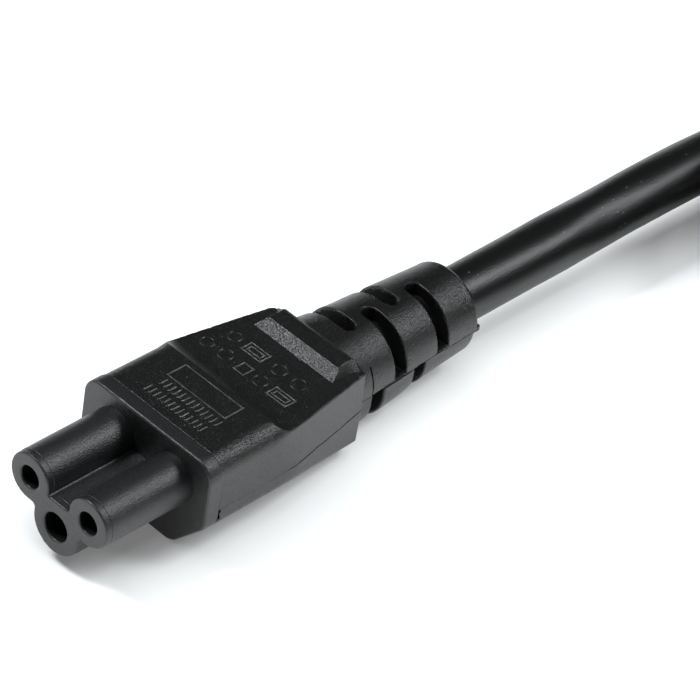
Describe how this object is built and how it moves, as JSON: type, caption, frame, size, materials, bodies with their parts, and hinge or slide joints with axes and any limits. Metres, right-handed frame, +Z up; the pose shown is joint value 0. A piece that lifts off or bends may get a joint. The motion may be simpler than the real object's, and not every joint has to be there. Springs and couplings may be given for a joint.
{
  "type": "power cord",
  "caption": "Black moulded mains power cord with a cloverleaf appliance connector, slotted strain relief, tied hank of round cable and an earthed two-blade plug.",
  "frame": {"origin": "on the floor under the middle of the connector", "axes": "+X runs from the connector's nose towards the cable, +Z is up, +Y is to the left seen from behind the cable looking at the nose's back"},
  "size_m": [0.2955, 0.0746, 0.0226],
  "materials": {
    "insert_plastic": "matte",
    "cord_pvc": "matte",
    "jacket_pvc": "satin",
    "tie_plastic": "matte",
    "contact_brass": "satin",
    "blade_metal": "satin",
    "copper_wire": "satin",
    "core_brown": "matte",
    "core_blue": "matte",
    "core_green": "matte"
  },
  "bodies": {
    "root": {"connector_insert": "insert_plastic", "connector_overmould": "cord_pvc", "line_contact": "contact_brass", "neutral_contact": "contact_brass", "earth_contact": "contact_brass", "line_core": "core_brown", "neutral_core": "core_blue", "earth_core": "core_green", "line_conductor": "copper_wire", "neutral_conductor": "copper_wire", "earth_conductor": "copper_wire", "cord_lead": "jacket_pvc", "cord_hank": "jacket_pvc", "cord_tail": "jacket_pvc", "hank_tie": "tie_plastic", "plug_overmould": "cord_pvc", "plug_bridge": "insert_plastic", "plug_line_blade": "blade_metal", "plug_neutral_blade": "blade_metal", "plug_earth_pin": "blade_metal", "plug_line_core": "core_brown", "plug_neutral_core": "core_blue", "plug_earth_core": "core_green", "plug_line_conductor": "copper_wire", "plug_neutral_conductor": "copper_wire", "plug_earth_conductor": "copper_wire"}
  },
  "joints": []
}
